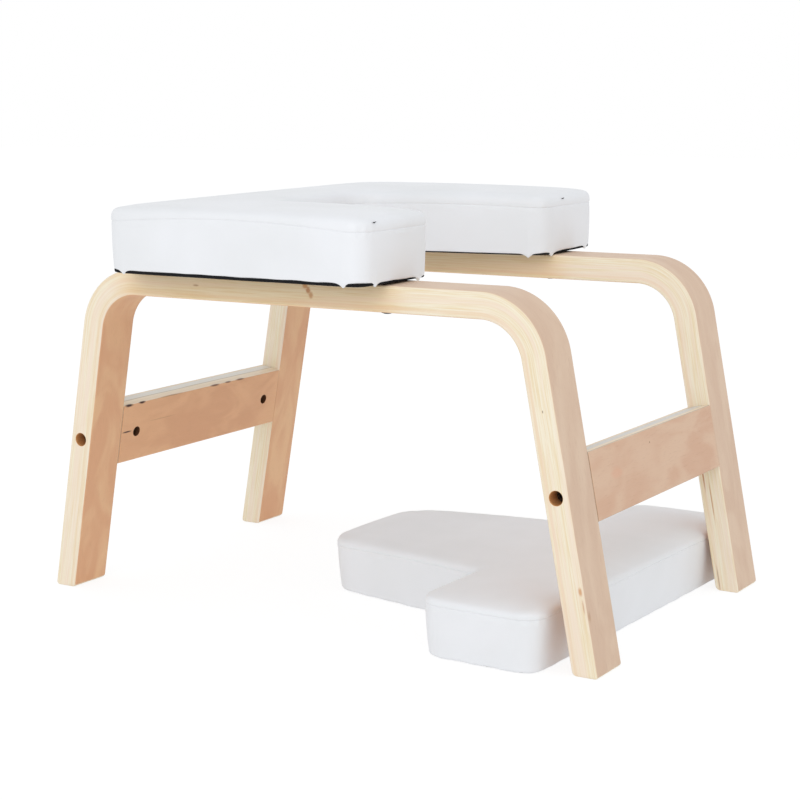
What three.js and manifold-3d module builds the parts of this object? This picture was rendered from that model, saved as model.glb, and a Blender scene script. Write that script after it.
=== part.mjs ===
// Yoga headstand stool: two bent-ply side frames joined by two stretchers, with a U-shaped shoulder
// pad bolted on top, and the T-shaped filler pad of its neck slot taken off and lying on the floor.
// Millimetres, +Z up. X runs along the frames and the slot opens toward +X. Y runs across them.
// The origin is on the floor, in the middle of the four feet.

import * as THREE from "three";
import { mergeVertices } from "three/addons/utils/BufferGeometryUtils.js";
import Module from "manifold-3d";

const wasm = await Module();
wasm.setup();

// Side frames
const frameLength = 625;
const frameHeight = 333;
const frameWidth = 368;
const stripWidth = 48;
const stripThickness = 25;
const outerBendRadius = 67;
const legLean = THREE.MathUtils.degToRad(10.5);
const stripArris = 2;
const footCornerRadius = 4;

// Stretchers
const stretcherHeight = 63;
const stretcherCentreHeight = 157;
const stretcherArris = 1.5;

// Connector bolts, their washers and barrel nuts
const boltDiameter = 6;
const boltLength = 70;
const boltHeadDiameter = 10;
const boltHeadHeight = 6;
const boltKeyWidth = 5;
const boltKeyDepth = 3;
const boltTipChamfer = 1;
const counterboreDiameter = 13;
const counterboreDepth = 20;
const washerRim = 0.5;
const washerThickness = 1.2;
const barrelNutDiameter = 9.4;
const barrelNutInset = 24;
const barrelNutSink = 6;
const barrelNutBacking = 5;

// Dowels beside each bolt
const dowelDiameter = 8;
const dowelLength = 30;
const dowelInLeg = 12;
const dowelSpacing = 40;
const dowelEndGap = 1;

// Upholstery shared by both pads
const boardThickness = 12;
const coverThickness = 1.6;
const dustCoverThickness = 1;
const dustCoverInset = 7;
const coverReturnWidth = 11;
const padSeamHeight = 52;
const crownRise = 12.5;
const padDrawIn = 3;
const seamGrooveWidth = 3;
const seamGrooveDepth = 0.9;
const seamBow = 3;
const sideBow = 0.6;
const padCornerRadius = 21;
const smallestCornerRadius = 2;
const longestEdgeStep = 100;

// Shoulder pad and its neck slot
const padLength = 299;
const padWidth = 458;
const closedEndWidth = 95;
const slotMouthWidth = 215;
const slotEndWidth = 154;
const slotEndRadius = 32;

// Filler pad, taken off and lying on the floor
const barLength = 432;
const barWidth = 123;
const stemSideClearance = 2;
const stemEndClearance = 1;
const stemEndRadius = 38;
const stemRootRadius = 12;
const fillerFromLegs = 18;
const fillerOffCentre = 9.5;
const fillerTurn = THREE.MathUtils.degToRad(-1.8);

// Pad screws and their T-nuts. The screw that shows, the right one at the open end, stands proud.
const screwDiameter = 6;
const screwHeadDiameter = 12;
const screwHeadHeight = 2.4;
const screwShortfall = 1;
const screwKeyWidth = 4;
const screwKeyDepth = 1.2;
const screwLeftProud = 1.2;
const screwFromOpenEnd = 19;
const screwFromClosedEnd = 40;
const teeNutFlangeDiameter = 18;
const teeNutFlangeThickness = 1.4;
const teeNutBarrelDiameter = 7.8;

// Fits
const gap = 0.3;
const overrun = 1;

// Smoothness of round shapes, as counts
const bendSteps = 10;
const cornerSteps = 4;
const arrisSteps = 2;
const roundSides = 18;
const dowelSides = 12;

// How far in a pad's crown keeps rising, as a share of the narrowest stretch of either pad.
const crownReachShare = 0.43;

// Section of a padded edge, from its foot up. Side rows hold shares of padDrawIn and padSeamHeight,
// and crown rows hold shares of the crown's reach and crownRise.
const sideShares = [[1, 0], [0.4, 0.12], [0, 0.5]];
const crownShares = [[0.03, 0.12], [0.1, 0.42], [0.26, 0.7], [0.54, 0.92], [1, 1]];

// Places that several pieces share
const frameHalfWidth = frameWidth / 2;
const stripCentreY = frameHalfWidth - stripWidth / 2;
const bendTangent = outerBendRadius * Math.tan((Math.PI / 2 - legLean) / 2);
const flatTopHalfLength = frameLength / 2 - frameHeight * Math.tan(legLean) - bendTangent;
const stripRunAtFloor = stripThickness / Math.cos(legLean);
const jointX = frameLength / 2 - stripRunAtFloor / 2 - stretcherCentreHeight * Math.tan(legLean);
const stretcherLength = 2 * (frameHalfWidth - stripWidth - gap);
const boltSeatY = frameHalfWidth - counterboreDepth + 2 * gap + washerThickness;
const boltHoleRadius = boltDiameter / 2 + gap;
const barrelNutLength = stripThickness - barrelNutSink - barrelNutBacking - gap;
const barrelNutY = stretcherLength / 2 - barrelNutInset;
const coverFloor = dustCoverThickness + gap;
const boardFloor = coverThickness + gap;
const boardInset = padDrawIn + coverThickness + gap;
const foamFloor = boardFloor + boardThickness + gap;
const boardTop = coverFloor + boardFloor + boardThickness;
const padClosedEndX = -flatTopHalfLength;
const padOpenEndX = padClosedEndX + padLength;
const slotDepth = padLength - closedEndWidth;
const armWidth = (padWidth - slotMouthWidth) / 2;
const crownReach = crownReachShare * Math.min(closedEndWidth, armWidth, barWidth);
const screwPlaces = [padOpenEndX - screwFromOpenEnd, padClosedEndX + screwFromClosedEnd];
const shoulderPadFloor = frameHeight + gap;

const finish = (color, roughness, metalness) =>
  new THREE.MeshStandardMaterial({ color, roughness, metalness });
const finishes = {
  ply: () => finish(0xe6cda6, 0.55, 0),
  dowelWood: () => finish(0xd9bd8e, 0.7, 0),
  vinyl: () => finish(0xeceef0, 0.45, 0),
  foam: () => finish(0xf0e3b8, 0.95, 0),
  dustCloth: () => finish(0x1d1d1f, 0.95, 0),
  zinc: () => finish(0xb9bcc0, 0.35, 0.9),
  blackSteel: () => finish(0x2b2b2d, 0.45, 0.8),
};

function named(name, geometry, material) {
  const mesh = new THREE.Mesh(geometry, material);
  mesh.name = name;
  return mesh;
}

function solidOf(geometry) {
  const bare = new THREE.BufferGeometry();
  bare.setAttribute("position", geometry.getAttribute("position"));
  bare.setIndex(geometry.getIndex());
  const merged = mergeVertices(bare);
  return new wasm.Manifold(
    new wasm.Mesh({
      numProp: 3,
      vertProperties: new Float32Array(merged.getAttribute("position").array),
      triVerts: new Uint32Array(merged.getIndex().array),
    }),
  );
}

// A geometry with the cutters taken out of it.
function cut(geometry, cutters) {
  let solid = solidOf(geometry);
  for (const cutter of cutters) solid = solid.subtract(solidOf(cutter));
  const mesh = solid.getMesh();
  const result = new THREE.BufferGeometry();
  result.setAttribute("position", new THREE.BufferAttribute(mesh.vertProperties, mesh.numProp));
  result.setIndex(new THREE.BufferAttribute(mesh.triVerts, 1));
  return result;
}

// A rod along Y whose middle is at the place given.
function rodAlongY(radius, length, x, y, z, sides = roundSides) {
  return new THREE.CylinderGeometry(radius, radius, length, sides).translate(x, y, z);
}

function rodAlongZ(radius, length, x, y, z, sides = roundSides) {
  const rod = new THREE.CylinderGeometry(radius, radius, length, sides);
  return rod.rotateX(Math.PI / 2).translate(x, y, z);
}

function corner(x, y, radius, steps = cornerSteps) {
  return { point: new THREE.Vector2(x, y), radius, steps };
}

// Rounded corners of a closed outline, given anticlockwise and drawn in by inset, as one arc of
// points a corner. Convex corners get tighter and concave ones wider, so every inset gives as many.
function cornerArcs(corners, inset = 0) {
  const count = corners.length;
  const before = (i) => (i + count - 1) % count;
  const after = (i) => (i + 1) % count;
  const inward = corners.map((here, i) => {
    const along = corners[after(i)].point.clone().sub(here.point).normalize();
    return new THREE.Vector2(-along.y, along.x);
  });
  const inner = corners.map((here, i) => {
    const last = inward[before(i)];
    const both = last.clone().add(inward[i]).divideScalar(1 + last.dot(inward[i]));
    return here.point.clone().addScaledVector(both, inset);
  });
  return corners.map((here, i) => {
    const back = inner[before(i)].clone().sub(inner[i]).normalize();
    const ahead = inner[after(i)].clone().sub(inner[i]).normalize();
    const convex = back.cross(ahead) < 0;
    const radius = convex ? Math.max(here.radius - inset, smallestCornerRadius) : here.radius + inset;
    const half = Math.acos(THREE.MathUtils.clamp(back.dot(ahead), -1, 1)) / 2;
    const bisector = back.clone().add(ahead).normalize();
    const centre = inner[i].clone().addScaledVector(bisector, radius / Math.sin(half));
    const start = inner[i].clone().addScaledVector(back, radius / Math.tan(half)).sub(centre);
    const sweep = (convex ? 1 : -1) * (Math.PI - 2 * half);
    return Array.from({ length: here.steps + 1 }, (_, step) =>
      start.clone().rotateAround(new THREE.Vector2(), (sweep * step) / here.steps).add(centre),
    );
  });
}

// The outline of a stuffed shape, whose straight edges carry points that bow outward between the
// corner arcs. A point's bow is 0 at its edge's ends and 1 at the middle.
function stuffedOutline(corners, inset) {
  const arcs = cornerArcs(corners, inset);
  return arcs.flatMap((arc, i) => {
    const after = (i + 1) % arcs.length;
    const from = arc[arc.length - 1];
    const to = arcs[after][0];
    const outward = new THREE.Vector2(to.y - from.y, from.x - to.x).normalize();
    const edgeLength = corners[i].point.distanceTo(corners[after].point);
    const pieces = Math.ceil(edgeLength / longestEdgeStep);
    const along = Array.from({ length: pieces - 1 }, (_, step) => {
      const share = (step + 1) / pieces;
      const bow = 4 * share * (1 - share);
      const { x, y } = from.clone().lerp(to, share).addScaledVector(outward, bow * sideBow);
      return { x, y, bow };
    });
    return [...arc.map(({ x, y }) => ({ x, y, bow: 0 })), ...along];
  });
}

// A flat plate of the given outline, lying from z = 0 up to its thickness.
function plate(corners, inset, thickness) {
  const shape = new THREE.Shape(cornerArcs(corners, inset).flat());
  return new THREE.ExtrudeGeometry(shape, { depth: thickness, bevelEnabled: false });
}

// A bar along Y of the given outline in X and Z, with its long way's end edges softened by arris.
function barAlongY(corners, length, arris) {
  const shape = new THREE.Shape(cornerArcs(corners).flat());
  const bar = new THREE.ExtrudeGeometry(shape, {
    depth: length - 2 * arris,
    bevelEnabled: arris > 0,
    bevelThickness: arris,
    bevelSize: arris,
    bevelOffset: -arris,
    bevelSegments: arrisSteps,
  });
  return bar.translate(0, 0, arris - length / 2).rotateX(Math.PI / 2);
}

// A closed skin through rings of equally many points, the first capped on top and the last below.
// Each four-sided patch is split along its shorter diagonal, so that nested skins bend alike.
function skinThrough(rings) {
  const size = rings[0].length;
  const positions = rings.flat().flatMap(({ x, y, z }) => [x, y, z]);
  const index = [];
  for (let r = 0; r + 1 < rings.length; r++) {
    for (let i = 0; i < size; i++) {
      const next = (i + 1) % size;
      const [a, b, c, d] = [r * size + i, r * size + next, (r + 1) * size + i, (r + 1) * size + next];
      const rising = new THREE.Vector3().subVectors(rings[r][next], rings[r + 1][i]);
      const falling = new THREE.Vector3().subVectors(rings[r + 1][next], rings[r][i]);
      if (rising.length() < falling.length()) index.push(c, d, b, c, b, a);
      else index.push(c, d, a, d, b, a);
    }
  }
  const cap = (ring, offset, faceUp) => {
    const flat = ring.map(({ x, y }) => new THREE.Vector2(x, y));
    for (const [a, b, c] of THREE.ShapeUtils.triangulateShape(flat, [])) {
      const turn = flat[b].clone().sub(flat[a]).cross(flat[c].clone().sub(flat[a]));
      const order = turn > 0 === faceUp ? [a, b, c] : [a, c, b];
      index.push(...order.map((i) => offset + i));
    }
  };
  cap(rings[0], 0, true);
  cap(rings[rings.length - 1], positions.length / 3 - size, false);
  const geometry = new THREE.BufferGeometry();
  geometry.setAttribute("position", new THREE.Float32BufferAttribute(positions, 3));
  geometry.setIndex(index);
  return geometry;
}

// Rows of a padded edge from the crown down to the foot, as inset from the pad's outline, height
// above the cover's underside and bow of the seam line.
const crownRows = crownShares
  .map(([inShare, upShare]) => ({
    inset: inShare * crownReach,
    height: padSeamHeight + upShare * crownRise,
    bow: (1 - upShare) * seamBow,
  }))
  .reverse();
const seamRows = [
  { inset: seamGrooveDepth, height: padSeamHeight, bow: seamBow },
  { inset: 0, height: padSeamHeight - seamGrooveWidth / 2, bow: seamBow },
];
const sideRows = sideShares
  .map(([inShare, upShare]) => ({
    inset: inShare * padDrawIn,
    height: upShare * padSeamHeight,
    bow: upShare * seamBow,
  }))
  .reverse();

// The same rows moved square to the surface, into the pad, by depth.
function rowsDrawnIn(rows, depth) {
  return rows.map((row, i) => {
    const above = rows[Math.max(i - 1, 0)];
    const below = rows[Math.min(i + 1, rows.length - 1)];
    const along = new THREE.Vector2(below.inset - above.inset, below.height - above.height).normalize();
    return { ...row, inset: row.inset - along.y * depth, height: row.height + along.x * depth };
  });
}

function ringsOf(corners, rows) {
  return rows.map(({ inset, height, bow }) =>
    stuffedOutline(corners, inset).map((point) => ({
      x: point.x,
      y: point.y,
      z: height + bow * point.bow,
    })),
  );
}

// The cover: crown, seam groove and drawn-in sides outside, a return under the board, and the
// inside of the same skin, open at the bottom within the return.
function padCover(corners) {
  const returnInset = padDrawIn + coverReturnWidth;
  const inner = rowsDrawnIn([...crownRows, ...sideRows], coverThickness).reverse();
  const rows = [
    ...crownRows,
    ...seamRows,
    ...sideRows,
    { inset: returnInset, height: 0, bow: 0 },
    { inset: returnInset, height: coverThickness, bow: 0 },
    { inset: padDrawIn + coverThickness, height: coverThickness, bow: 0 },
    ...inner.slice(1),
  ];
  return skinThrough(ringsOf(corners, rows));
}

function padFoam(corners) {
  const inner = rowsDrawnIn([...crownRows, ...sideRows], coverThickness + gap);
  const rows = inner.filter((row) => row.height > foamFloor);
  return skinThrough(ringsOf(corners, [...rows, { inset: boardInset, height: foamFloor, bow: 0 }]));
}

// One upholstered pad on z = 0: dust cover, cover, board and foam, with holes for screws.
function paddedUnit(prefix, corners, holes) {
  const unit = new THREE.Group();
  const through = (radius, low, high) =>
    holes.map(([x, y]) =>
      rodAlongZ(radius, high - low + 2 * overrun, x, y, (low + high) / 2),
    );
  const dustCover = cut(
    plate(corners, dustCoverInset, dustCoverThickness),
    through(teeNutBarrelDiameter / 2 + gap, 0, dustCoverThickness),
  );
  const flangePockets = holes.map(([x, y]) =>
    rodAlongZ(
      teeNutFlangeDiameter / 2 + gap,
      2 * (teeNutFlangeThickness + gap),
      x,
      y,
      boardThickness,
    ),
  );
  const board = cut(plate(corners, boardInset, boardThickness), [
    ...through(teeNutBarrelDiameter / 2 + gap, 0, boardThickness),
    ...flangePockets,
  ]).translate(0, 0, coverFloor + boardFloor);
  unit.add(
    named(`${prefix}_dust_cover`, dustCover, finishes.dustCloth()),
    named(`${prefix}_base_board`, board, finishes.ply()),
    named(`${prefix}_foam`, padFoam(corners).translate(0, 0, coverFloor), finishes.foam()),
    named(`${prefix}_cover`, padCover(corners).translate(0, 0, coverFloor), finishes.vinyl()),
  );
  return unit;
}

// Side frame in X and Z, as the bent strip's outer corners and then its inner ones.
function sideFrame(name, side) {
  const innerBendRadius = outerBendRadius - stripThickness;
  const slope = Math.tan(legLean);
  const outerTopX = frameLength / 2 - frameHeight * slope;
  const innerFootX = frameLength / 2 - stripRunAtFloor;
  const innerTop = frameHeight - stripThickness;
  const innerTopX = innerFootX - innerTop * slope;
  const strip = barAlongY(
    [
      corner(frameLength / 2, 0, footCornerRadius, arrisSteps),
      corner(outerTopX, frameHeight, outerBendRadius, bendSteps),
      corner(-outerTopX, frameHeight, outerBendRadius, bendSteps),
      corner(-frameLength / 2, 0, footCornerRadius, arrisSteps),
      corner(-innerFootX, 0, footCornerRadius, arrisSteps),
      corner(-innerTopX, innerTop, innerBendRadius, bendSteps),
      corner(innerTopX, innerTop, innerBendRadius, bendSteps),
      corner(innerFootX, 0, footCornerRadius, arrisSteps),
    ],
    stripWidth,
    stripArris,
  );
  const outward = side * (stripWidth / 2);
  const cutters = [-1, 1].flatMap((end) => {
    const alongLeg = (distance) => [
      end * (jointX - distance * Math.sin(legLean)),
      stretcherCentreHeight + distance * Math.cos(legLean),
    ];
    const [boltX, boltZ] = alongLeg(0);
    const dowelHoles = [-1, 1].map((way) => {
      const [x, z] = alongLeg((way * dowelSpacing) / 2);
      const depth = dowelInLeg + dowelEndGap;
      return rodAlongY(dowelDiameter / 2 + gap, 2 * depth, x, -outward, z, dowelSides);
    });
    return [
      rodAlongY(boltHoleRadius, stripWidth + 2 * overrun, boltX, 0, boltZ),
      rodAlongY(counterboreDiameter / 2, 2 * counterboreDepth, boltX, outward, boltZ),
      ...dowelHoles,
    ];
  });
  const screwHoles = screwPlaces.map((x) =>
    rodAlongZ(
      screwDiameter / 2 + gap,
      stripThickness + 2 * overrun,
      x,
      0,
      frameHeight - stripThickness / 2,
    ),
  );
  const frame = named(name, cut(strip, [...cutters, ...screwHoles]), finishes.ply());
  frame.position.y = side * stripCentreY;
  return frame;
}

// A round piece turned about Y from points of radius and place.
function turned(profile, sides = roundSides) {
  return new THREE.LatheGeometry(profile.map(([r, y]) => new THREE.Vector2(r, y)), sides);
}

function hexKey(width, depth, y) {
  return rodAlongY(width / 2 / Math.cos(Math.PI / 6), 2 * depth, 0, y, 0, 6);
}

// A connector bolt whose head seats at y = 0 and whose shank runs toward +Y.
function connectorBolt() {
  const shank = boltDiameter / 2;
  const head = boltHeadDiameter / 2;
  const body = turned([
    [0, -boltHeadHeight],
    [head, -boltHeadHeight],
    [head, 0],
    [shank, 0],
    [shank, boltLength - boltTipChamfer],
    [shank - boltTipChamfer, boltLength],
    [0, boltLength],
  ]);
  return cut(body, [hexKey(boltKeyWidth, boltKeyDepth, -boltHeadHeight)]);
}

function washer() {
  const outer = counterboreDiameter / 2 - washerRim;
  return turned([
    [boltHoleRadius, 0],
    [outer, 0],
    [outer, washerThickness],
    [boltHoleRadius, washerThickness],
    [boltHoleRadius, 0],
  ]);
}

// A barrel nut along X, centred on x = 0, with the bolt's hole across it at holeX.
function barrelNut(holeX) {
  const nut = new THREE.CylinderGeometry(
    barrelNutDiameter / 2,
    barrelNutDiameter / 2,
    barrelNutLength,
    roundSides,
  ).rotateZ(Math.PI / 2);
  return cut(nut, [rodAlongY(boltHoleRadius, barrelNutDiameter + 2 * overrun, holeX, 0, 0)]);
}

// A stretcher with its bolts, washers, barrel nuts and dowels, in a frame that leans with the legs.
// Its barrel nuts go in from the face that looks at the middle of the stool.
function stretcherUnit(name, end) {
  const unit = new THREE.Group();
  unit.position.set(end * jointX, 0, stretcherCentreHeight);
  unit.rotation.y = -end * legLean;
  const halfThickness = stripThickness / 2;
  const halfHeight = stretcherHeight / 2;
  const board = barAlongY(
    [
      corner(halfThickness, -halfHeight, stretcherArris, arrisSteps),
      corner(halfThickness, halfHeight, stretcherArris, arrisSteps),
      corner(-halfThickness, halfHeight, stretcherArris, arrisSteps),
      corner(-halfThickness, -halfHeight, stretcherArris, arrisSteps),
    ],
    stretcherLength,
    0,
  );
  const inwardX = -end;
  const nutPocketDepth = barrelNutSink + barrelNutLength + gap;
  const nutX = inwardX * (halfThickness - barrelNutSink - barrelNutLength / 2);
  const boltTipY = boltSeatY - boltLength;
  const cutters = [];
  for (const side of [-1, 1]) {
    const key = side < 0 ? "right" : "left";
    const boltHoleDepth = stretcherLength / 2 - boltTipY + overrun;
    const dowelHoleDepth = dowelLength - dowelInLeg + dowelEndGap;
    const endY = side * (stretcherLength / 2);
    cutters.push(
      rodAlongY(boltHoleRadius, 2 * boltHoleDepth, 0, endY, 0),
      new THREE.CylinderGeometry(
        barrelNutDiameter / 2 + gap,
        barrelNutDiameter / 2 + gap,
        2 * nutPocketDepth,
        roundSides,
      )
        .rotateZ(Math.PI / 2)
        .translate(inwardX * halfThickness, side * barrelNutY, 0),
    );
    const bolt = named(`${name}_bolt_${key}`, connectorBolt(), finishes.blackSteel());
    bolt.position.y = side * boltSeatY;
    bolt.rotation.z = side < 0 ? 0 : Math.PI;
    const ring = named(`${name}_washer_${key}`, washer(), finishes.blackSteel());
    ring.position.y = side * (boltSeatY - gap);
    ring.rotation.z = bolt.rotation.z;
    const nut = named(`${name}_barrel_nut_${key}`, barrelNut(-nutX), finishes.blackSteel());
    nut.position.set(nutX, side * barrelNutY, 0);
    unit.add(bolt, ring, nut);
    for (const [level, way] of [["upper", 1], ["lower", -1]]) {
      const z = (way * dowelSpacing) / 2;
      cutters.push(rodAlongY(dowelDiameter / 2 + gap, 2 * dowelHoleDepth, 0, endY, z, dowelSides));
      const dowelY = side * (frameHalfWidth - stripWidth + dowelInLeg - dowelLength / 2);
      const dowel = rodAlongY(dowelDiameter / 2, dowelLength, 0, dowelY, z, dowelSides);
      unit.add(named(`${name}_dowel_${key}_${level}`, dowel, finishes.dowelWood()));
    }
  }
  unit.add(named(name, cut(board, cutters), finishes.ply()));
  return unit;
}

// A pad screw, head down, whose shank rises along Z from z = 0 through rail, cover and board.
function padScrew() {
  const shank = screwDiameter / 2;
  const head = screwHeadDiameter / 2;
  const length = stripThickness + 2 * gap + boardTop - screwShortfall;
  const body = turned([
    [0, -screwHeadHeight],
    [head / 2, -screwHeadHeight],
    [head, -screwHeadHeight / 2],
    [head, 0],
    [shank, 0],
    [shank, length],
    [0, length],
  ]);
  return cut(body, [hexKey(screwKeyWidth, screwKeyDepth, -screwHeadHeight)]).rotateX(Math.PI / 2);
}

// A T-nut whose flange's top is at z = 0 and whose barrel hangs below it.
function teeNut() {
  const bore = screwDiameter / 2 + gap;
  const flange = teeNutFlangeDiameter / 2;
  const barrel = teeNutBarrelDiameter / 2;
  return turned([
    [bore, -boardThickness],
    [barrel, -boardThickness],
    [barrel, -teeNutFlangeThickness],
    [flange, -teeNutFlangeThickness],
    [flange, 0],
    [bore, 0],
    [bore, -boardThickness],
  ]).rotateX(Math.PI / 2);
}

function shoulderPad() {
  const halfWidth = padWidth / 2;
  const slotEndX = padOpenEndX - slotDepth;
  const corners = [
    corner(padOpenEndX, -halfWidth, padCornerRadius),
    corner(padOpenEndX, -slotMouthWidth / 2, padCornerRadius),
    corner(slotEndX, -slotEndWidth / 2, slotEndRadius),
    corner(slotEndX, slotEndWidth / 2, slotEndRadius),
    corner(padOpenEndX, slotMouthWidth / 2, padCornerRadius),
    corner(padOpenEndX, halfWidth, padCornerRadius),
    corner(padClosedEndX, halfWidth, padCornerRadius),
    corner(padClosedEndX, -halfWidth, padCornerRadius),
  ];
  const places = [-1, 1].flatMap((side) => screwPlaces.map((x) => [x, side * stripCentreY]));
  const pad = paddedUnit("shoulder_pad", corners, places);
  pad.position.z = shoulderPadFloor;
  for (const side of [-1, 1]) {
    screwPlaces.forEach((x, i) => {
      const key = `${side < 0 ? "right" : "left"}_${i ? "closed_end" : "open_end"}`;
      const screw = named(`pad_screw_${key}`, padScrew(), finishes.blackSteel());
      const proud = key === "right_open_end" ? screwLeftProud : 0;
      screw.position.set(x, side * stripCentreY, -stripThickness - 2 * gap - proud);
      const nut = named(`pad_tee_nut_${key}`, teeNut(), finishes.zinc());
      nut.position.set(x, side * stripCentreY, boardTop);
      pad.add(screw, nut);
    });
  }
  return pad;
}

// The filler pad in its own frame: the bar's free side is at x = 0 and the stem points to -X.
function fillerPad() {
  const barHalf = barLength / 2;
  const rootHalf = slotMouthWidth / 2 - stemSideClearance;
  const endHalf = slotEndWidth / 2 - stemSideClearance;
  const stemEndX = -barWidth - slotDepth + stemEndClearance;
  const corners = [
    corner(0, -barHalf, padCornerRadius),
    corner(0, barHalf, padCornerRadius),
    corner(-barWidth, barHalf, padCornerRadius),
    corner(-barWidth, rootHalf, stemRootRadius),
    corner(stemEndX, endHalf, stemEndRadius),
    corner(stemEndX, -endHalf, stemEndRadius),
    corner(-barWidth, -rootHalf, stemRootRadius),
    corner(-barWidth, -barHalf, padCornerRadius),
  ];
  const pad = paddedUnit("filler_pad", corners, []);
  pad.position.set(frameLength / 2 - stripRunAtFloor - fillerFromLegs, fillerOffCentre, 0);
  pad.rotation.z = fillerTurn;
  return pad;
}

const stool = new THREE.Group();
stool.add(
  sideFrame("right_side_frame", -1),
  sideFrame("left_side_frame", 1),
  stretcherUnit("open_end_stretcher", 1),
  stretcherUnit("closed_end_stretcher", -1),
  shoulderPad(),
  fillerPad(),
);

export default stool;
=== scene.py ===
import math

import bpy
import numpy as np
from mathutils import Matrix, Vector
from mathutils.geometry import delaunay_2d_cdt


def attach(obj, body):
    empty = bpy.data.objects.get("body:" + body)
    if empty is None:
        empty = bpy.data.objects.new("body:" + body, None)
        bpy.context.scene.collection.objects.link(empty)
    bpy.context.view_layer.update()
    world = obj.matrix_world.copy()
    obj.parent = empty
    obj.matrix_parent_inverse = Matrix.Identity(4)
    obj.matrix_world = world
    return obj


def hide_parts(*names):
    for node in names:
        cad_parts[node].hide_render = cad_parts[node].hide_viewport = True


# Yoga headstand stool: two bent ply side frames and two stretchers carry a U-shaped shoulder pad,
# and the T-shaped filler pad of its neck slot lies on the floor, pushed in from the open end.
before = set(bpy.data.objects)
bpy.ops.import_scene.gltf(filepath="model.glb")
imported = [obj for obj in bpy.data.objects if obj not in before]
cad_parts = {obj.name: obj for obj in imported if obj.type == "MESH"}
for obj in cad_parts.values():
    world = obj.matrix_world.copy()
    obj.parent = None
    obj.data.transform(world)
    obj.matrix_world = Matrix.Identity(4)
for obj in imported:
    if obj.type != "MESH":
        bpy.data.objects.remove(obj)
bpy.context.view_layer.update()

# Side frames
# Each is one strip of thin birch veneers, glued and pressed round two bends, sawn to 48 mm wide
# and sanded. Its long edges are softened, and the feet are sawn level with the floor.
frame_length = 625
frame_height = 333
frame_across = 160
strip_width = 48
strip_thickness = 25
outer_bend = 67
leg_lean = math.radians(10.5)
strip_arris = 2
foot_round = 4
lean_slope = math.tan(leg_lean)
inner_bend = outer_bend - strip_thickness
mid_bend = inner_bend + strip_thickness / 2
bend_turn = math.pi / 2 - leg_lean
bend_x = frame_length / 2 - frame_height * lean_slope - outer_bend * math.tan(bend_turn / 2)
bend_z = frame_height - outer_bend
run_at_floor = strip_thickness / math.cos(leg_lean)


def make_piece(name, points, faces):
    """A mesh object from points in millimetres."""
    mesh = bpy.data.meshes.new(name)
    mesh.from_pydata((np.asarray(points, float) / 1000).tolist(), [], faces)
    mesh.validate()
    piece = bpy.data.objects.new(name, mesh)
    bpy.context.scene.collection.objects.link(piece)
    return piece


def rounded_section(thickness, width, arris, corner_steps=4):
    """Points round a strip's section as shares of its thickness and millimetres of its width."""
    points = []
    centres = [(thickness - arris, width / 2 - arris), (arris, width / 2 - arris)]
    centres += [(arris, arris - width / 2), (thickness - arris, arris - width / 2)]
    for turn, (depth, across) in enumerate(centres):
        for step in range(corner_steps + 1):
            angle = math.pi / 2 * (turn + step / corner_steps)
            points.append((depth + arris * math.cos(angle), across + arris * math.sin(angle)))
        flat = width - 2 * arris if turn % 2 else thickness - 2 * arris
        pieces = round(flat / 6)
        last, (next_depth, next_across) = points[-1], centres[(turn + 1) % 4]
        after = math.pi / 2 * (turn + 1)
        to = (next_depth + arris * math.cos(after), next_across + arris * math.sin(after))
        for step in range(1, pieces):
            share = step / pieces
            points.append((last[0] + (to[0] - last[0]) * share, last[1] + (to[1] - last[1]) * share))
    return points


def skin_of_rings(rings, closed_ends=True):
    """Four-sided faces between rings of equally many points, with a face over each end."""
    size = len(rings[0])
    faces = []
    for ring in range(len(rings) - 1):
        for i in range(size):
            j = (i + 1) % size
            low, high = ring * size, (ring + 1) * size
            faces.append((low + i, low + j, high + j, high + i))
    if closed_ends:
        faces.append(tuple(reversed(range(size))))
        faces.append(tuple(range((len(rings) - 1) * size, len(rings) * size)))
    return np.concatenate(rings), faces


def leg_line(height, from_outside):
    return frame_length / 2 - height * lean_slope - run_at_floor * (not from_outside)


# Stations along the strip: up a leg from its rounded foot, round the bend, along half the
# rail, and the same mirrored.
foot_steps = 4
leg_steps = 23
bend_steps = 32
rail_steps = 16
strip_stations = []
for step in range(foot_steps + 1):
    turn = math.pi / 2 * (1 - step / foot_steps)
    rise = foot_round * (1 - math.sin(turn))
    drawn = foot_round * (1 - math.cos(turn))
    near_floor = max(strip_arris - rise, 0)
    narrowed = strip_arris - math.sqrt(strip_arris**2 - near_floor**2)
    strip_stations.append(
        ((leg_line(rise, False) + drawn, rise), (leg_line(rise, True) - drawn, rise), narrowed)
    )
for step in range(1, leg_steps):
    ends = []
    for radius in (inner_bend, outer_bend):
        reach = bend_z + radius * math.cos(bend_turn) - foot_round
        height = foot_round + reach * step / leg_steps
        ends.append((leg_line(height, radius == outer_bend), height))
    strip_stations.append((*ends, 0))
for step in range(bend_steps + 1):
    turn = bend_turn * (1 - step / bend_steps)
    way = np.array([math.sin(turn), math.cos(turn)])
    centre = np.array([bend_x, bend_z])
    strip_stations.append((centre + inner_bend * way, centre + outer_bend * way, 0))
for step in range(1, rail_steps):
    x = bend_x * (1 - step / rail_steps)
    strip_stations.append(((x, frame_height - strip_thickness), (x, frame_height), 0))
mirrored = [((-a[0], a[1]), (-b[0], b[1]), narrowed) for a, b, narrowed in strip_stations]
middle = ((0, frame_height - strip_thickness), (0, frame_height), 0)
strip_stations += [middle, *reversed(mirrored)]
strip_section = np.array(rounded_section(strip_thickness, strip_width, strip_arris))


def bent_strip(name, y):
    rings = []
    for inner, outer, narrowed in strip_stations:
        inner, outer = np.array(inner), np.array(outer)
        along = inner + (outer - inner) * (strip_section[:, :1] / strip_thickness)
        across = strip_section[:, 1] * (1 - 2 * narrowed / strip_width)
        rings.append(np.column_stack([along[:, 0], y + across, along[:, 1]]))
    return make_piece(name, *skin_of_rings(rings))


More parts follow.
